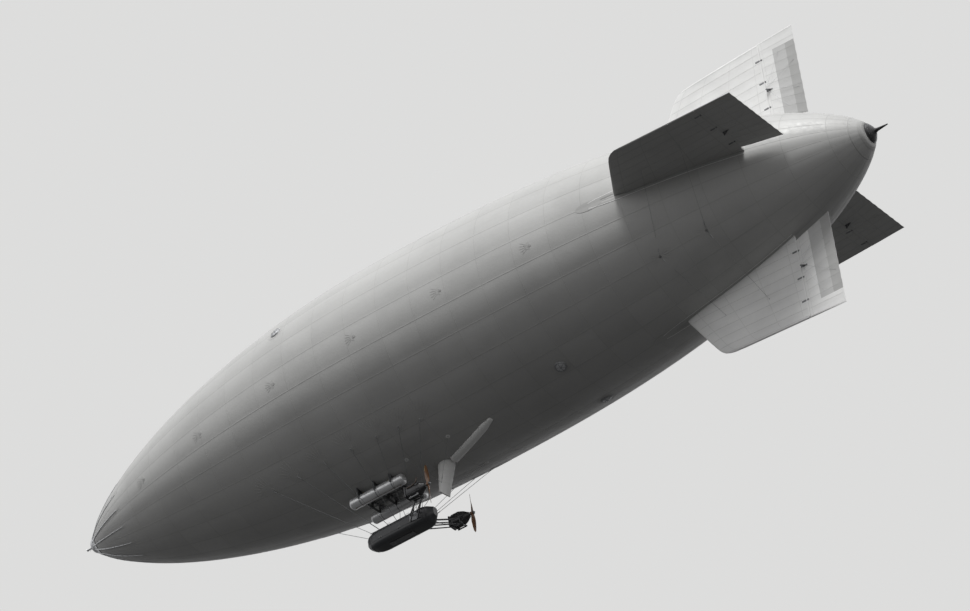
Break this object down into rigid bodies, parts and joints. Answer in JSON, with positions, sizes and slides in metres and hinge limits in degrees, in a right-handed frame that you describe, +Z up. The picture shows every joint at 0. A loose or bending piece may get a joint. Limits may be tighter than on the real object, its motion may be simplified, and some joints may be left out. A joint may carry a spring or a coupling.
{
  "type": "half-scale model of a non-rigid airship",
  "caption": "Cigar-shaped gas envelope with cross-set tail fins, hinged rudders and elevators, a slung open car, outrigged engines and pusher propellers.",
  "frame": {"origin": "on the envelope's long axis at the centre of buoyancy, 46% of the envelope's length behind its nose", "axes": "+X towards the nose along the envelope's axis, +Y to port, +Z up"},
  "size_m": [30.12, 9.7112, 10.61],
  "materials": {
    "envelope_fabric": "aluminium-doped rubberised fabric, satin",
    "fin_fabric": "doped fabric over ribs, satin",
    "bright_alloy": "brushed sheet",
    "steel_fittings": "dull tube and plate",
    "radiator_core": "darkened honeycomb",
    "dark_paint": "very dark enamel",
    "cockpit_leather": "brown hide",
    "varnished_wood": "varnished laminate",
    "screen_glass": "clear",
    "duct_fabric": "undoped light fabric over hoops"
  },
  "bodies": {
    "airship": {"envelope": "envelope_fabric", "upper_fin": "fin_fabric", "lower_fin": "fin_fabric", "port_fin": "fin_fabric", "starboard_fin": "fin_fabric", "nose_cap": "bright_alloy", "port_fuel_tank": "bright_alloy", "starboard_fuel_tank": "bright_alloy", "gas_valve": "bright_alloy", "port_air_valve": "bright_alloy", "starboard_air_valve": "bright_alloy", "mooring_cone": "steel_fittings", "tank_cradle": "steel_fittings", "keel_plate": "steel_fittings", "port_outrigger": "steel_fittings", "starboard_outrigger": "steel_fittings", "port_stays": "steel_fittings", "starboard_stays": "steel_fittings", "port_exhaust": "steel_fittings", "starboard_exhaust": "steel_fittings", "port_radiator": "radiator_core", "starboard_radiator": "radiator_core", "car_hull": "dark_paint", "tail_cap": "dark_paint", "port_engine": "dark_paint", "starboard_engine": "dark_paint", "front_cockpit_rim": "cockpit_leather", "middle_cockpit_rim": "cockpit_leather", "rear_cockpit_rim": "cockpit_leather", "front_seat": "cockpit_leather", "middle_seat": "cockpit_leather", "rear_seat": "cockpit_leather", "instrument_panel": "varnished_wood", "rudder_wheel": "varnished_wood", "elevator_wheel": "varnished_wood", "front_windscreen": "screen_glass", "middle_windscreen": "screen_glass", "rear_windscreen": "screen_glass", "air_scoop": "duct_fabric", "belly_duct": "duct_fabric"},
    "upper_rudder": {"upper_rudder": "fin_fabric"},
    "lower_rudder": {"lower_rudder": "fin_fabric"},
    "port_elevator": {"port_elevator": "fin_fabric"},
    "starboard_elevator": {"starboard_elevator": "fin_fabric"},
    "port_propeller": {"port_propeller": "varnished_wood"},
    "starboard_propeller": {"starboard_propeller": "varnished_wood"}
  },
  "joints": [
    {"name": "port_propeller_spin", "type": "hinge", "parent": "airship", "child": "port_propeller", "pos_m": [0.631, 1.12, -4.8], "axis": [1, 0, 0], "continuous": true},
    {"name": "starboard_propeller_spin", "type": "hinge", "parent": "airship", "child": "starboard_propeller", "pos_m": [0.631, -1.12, -4.8], "axis": [1, 0, 0], "continuous": true},
    {"name": "upper_rudder_hinge", "type": "hinge", "parent": "airship", "child": "upper_rudder", "pos_m": [-12.439, 0, 3.6], "axis": [0, 0, 1], "range_deg": [-25, 25]},
    {"name": "lower_rudder_hinge", "type": "hinge", "parent": "airship", "child": "lower_rudder", "pos_m": [-12.439, 0, -3.6], "axis": [0, 0, 1], "range_deg": [-25, 25]},
    {"name": "port_elevator_hinge", "type": "hinge", "parent": "airship", "child": "port_elevator", "pos_m": [-12.439, 3.5, 0], "axis": [0, 1, 0], "range_deg": [-25, 25]},
    {"name": "starboard_elevator_hinge", "type": "hinge", "parent": "airship", "child": "starboard_elevator", "pos_m": [-12.439, -3.5, 0], "axis": [0, 1, 0], "range_deg": [-25, 25]}
  ],
  "couplings": [
    {"joint": "lower_rudder_hinge", "follows": "upper_rudder_hinge", "ratio": 1},
    {"joint": "starboard_elevator_hinge", "follows": "port_elevator_hinge", "ratio": 1}
  ]
}
